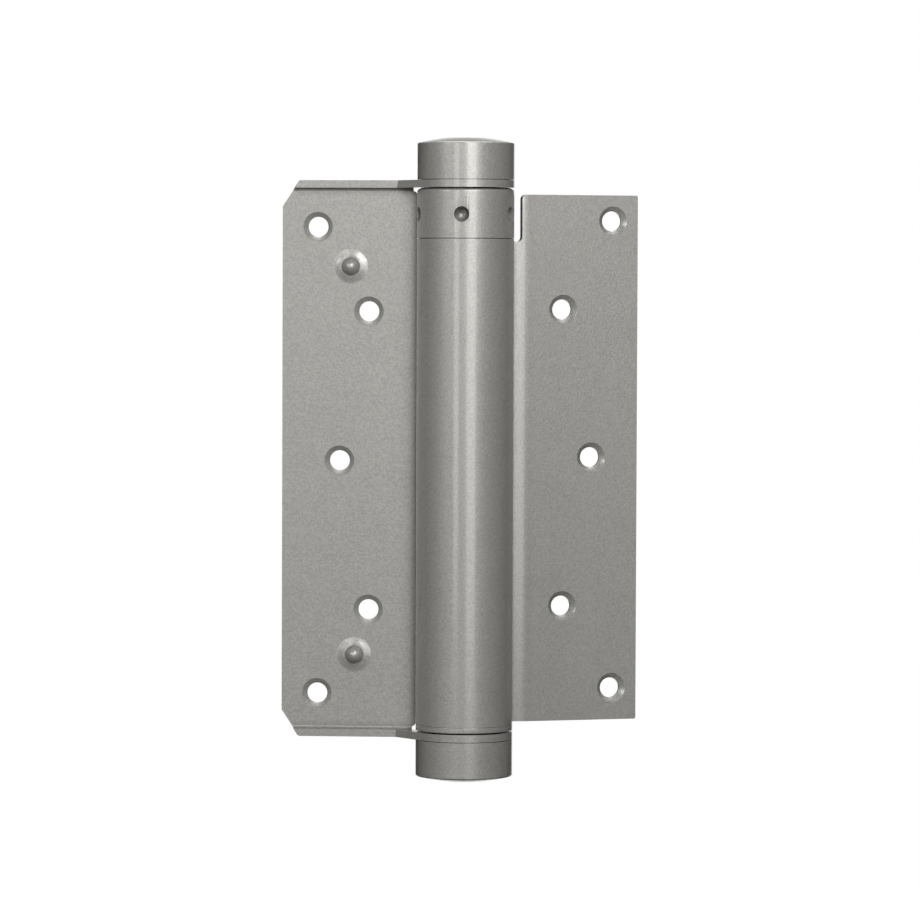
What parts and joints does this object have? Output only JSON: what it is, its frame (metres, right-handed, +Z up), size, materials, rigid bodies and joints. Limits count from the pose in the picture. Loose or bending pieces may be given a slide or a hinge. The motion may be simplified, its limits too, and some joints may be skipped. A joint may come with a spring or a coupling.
{
  "type": "spring hinge",
  "caption": "Single-action spring hinge with two screwed leaves, a torsion spring in the barrel and a tension collar that winds it.",
  "frame": {"origin": "on the barrel's axis, at the underside of the frame leaf's bottom ear", "axes": "+Z up the barrel towards the tension collar, -X along the frame leaf, -Y towards the side that the frame leaf's screws go in from"},
  "size_m": [0.0948, 0.0357, 0.1723],
  "materials": {
    "leaf_paint": "satin silver-grey metallic paint",
    "turned_paint": "satin silver-grey metallic paint",
    "cap_paint": "satin silver-grey metallic paint",
    "turned_steel": "turned",
    "bright_steel": "drawn bright",
    "spring_steel": "oiled, dark",
    "bearing_brass": "turned",
    "bearing_plastic": "moulded",
    "sleeve_plastic": "extruded"
  },
  "bodies": {
    "frame_leaf": {"frame_leaf": "leaf_paint", "spindle": "bright_steel", "spindle_sleeve": "sleeve_plastic", "top_retainer": "turned_steel", "bottom_retainer": "turned_steel", "top_head_washer": "bright_steel", "bottom_head_washer": "bright_steel", "top_cap": "cap_paint", "bottom_cap": "cap_paint"},
    "door_leaf": {"door_leaf": "leaf_paint", "lower_spring_plug": "turned_paint", "plug_pin": "bright_steel", "lower_spindle_bush": "bearing_brass", "lower_thrust_washer": "bearing_plastic", "torsion_spring": "spring_steel"},
    "tension_collar": {"tension_collar": "turned_paint", "upper_spring_plug": "turned_steel", "collar_keys": "bright_steel", "upper_spindle_bush": "bearing_brass", "upper_thrust_washer": "bearing_plastic"}
  },
  "joints": [
    {"name": "leaf_swing", "type": "hinge", "parent": "frame_leaf", "child": "door_leaf", "pos_m": [0, 0, 0], "axis": [0, 0, 1], "range_deg": [-206, 110]},
    {"name": "collar_wind", "type": "hinge", "parent": "door_leaf", "child": "tension_collar", "pos_m": [0, 0, 0.1342], "axis": [0, 0, 1], "range_deg": [-216, 0], "stiffness_Nm_per_rad": 1.19, "deforming": ["torsion_spring"]}
  ]
}
